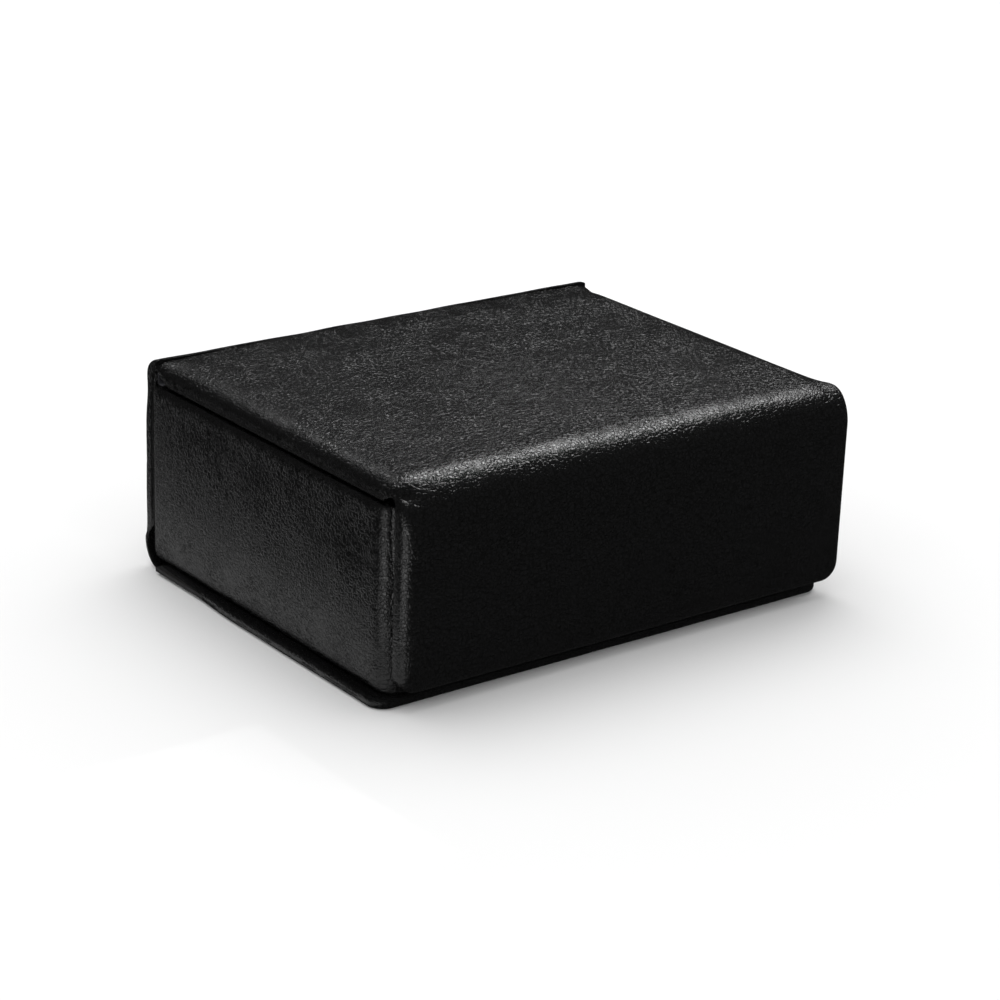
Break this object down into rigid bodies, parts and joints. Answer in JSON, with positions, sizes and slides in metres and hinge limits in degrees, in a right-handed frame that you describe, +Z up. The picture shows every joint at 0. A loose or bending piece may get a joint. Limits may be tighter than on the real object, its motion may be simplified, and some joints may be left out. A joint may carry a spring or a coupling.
{
  "type": "jewelry box",
  "caption": "Leather book-style jewelry box with a padded hinged lid, a folding magnetic front flap, and a suede-lined tray with ring rolls and an open compartment.",
  "frame": {"origin": "on the floor under the middle of the closed box", "axes": "+X to the right, the flap faces -Y, +Z up"},
  "size_m": [0.1028, 0.082, 0.0408],
  "materials": {
    "nappa": "fine-grained black nappa, satin",
    "suede": "black suede cloth, matt",
    "grey_board": "dark grey bookbinding board",
    "lining_paper": "black lining paper",
    "foam": "fine black foam sheet",
    "nickel": "nickel-plated disc magnet",
    "steel": "bright steel disc"
  },
  "bodies": {
    "box": {"base_board": "grey_board", "base_lining": "lining_paper", "base_leather": "nappa", "base_bend_leather": "nappa", "spine_board": "grey_board", "spine_leather": "nappa", "rear_hinge_leather": "nappa", "rear_hinge_lining": "suede", "tray_floor_board": "grey_board", "left_wall_board": "grey_board", "right_wall_board": "grey_board", "front_wall_board": "grey_board", "back_wall_board": "grey_board", "left_wall_foam": "foam", "right_wall_foam": "foam", "left_wall_leather": "nappa", "right_wall_leather": "nappa", "front_wall_leather": "nappa", "rim_leather": "nappa", "left_lining": "suede", "right_lining": "suede", "front_lining": "suede", "back_lining": "suede", "floor_pad": "suede", "divider_board": "grey_board", "divider_cover": "suede", "ring_roll_cores": "foam", "ring_roll_covers": "suede", "wall_magnets": "nickel"},
    "lid": {"lid_board": "grey_board", "lid_foam": "foam", "lid_leather": "nappa", "lid_lining": "suede", "fold_leather": "nappa", "fold_foam": "foam", "fold_lining": "nappa"},
    "flap": {"flap_board": "grey_board", "flap_foam": "foam", "flap_leather": "nappa", "flap_lining": "nappa", "flap_plates": "steel"}
  },
  "joints": [
    {"name": "lid_hinge", "type": "hinge", "parent": "box", "child": "lid", "pos_m": [0, 0.04036, 0.04016], "axis": [-1, 0, 0], "range_deg": [0, 170], "deforming": ["rear_hinge_leather", "rear_hinge_lining"]},
    {"name": "flap_fold", "type": "hinge", "parent": "lid", "child": "flap", "pos_m": [0, -0.0395, 0.0393], "axis": [-1, 0, 0], "range_deg": [0, 120], "deforming": ["fold_leather", "fold_foam", "fold_lining"]}
  ]
}
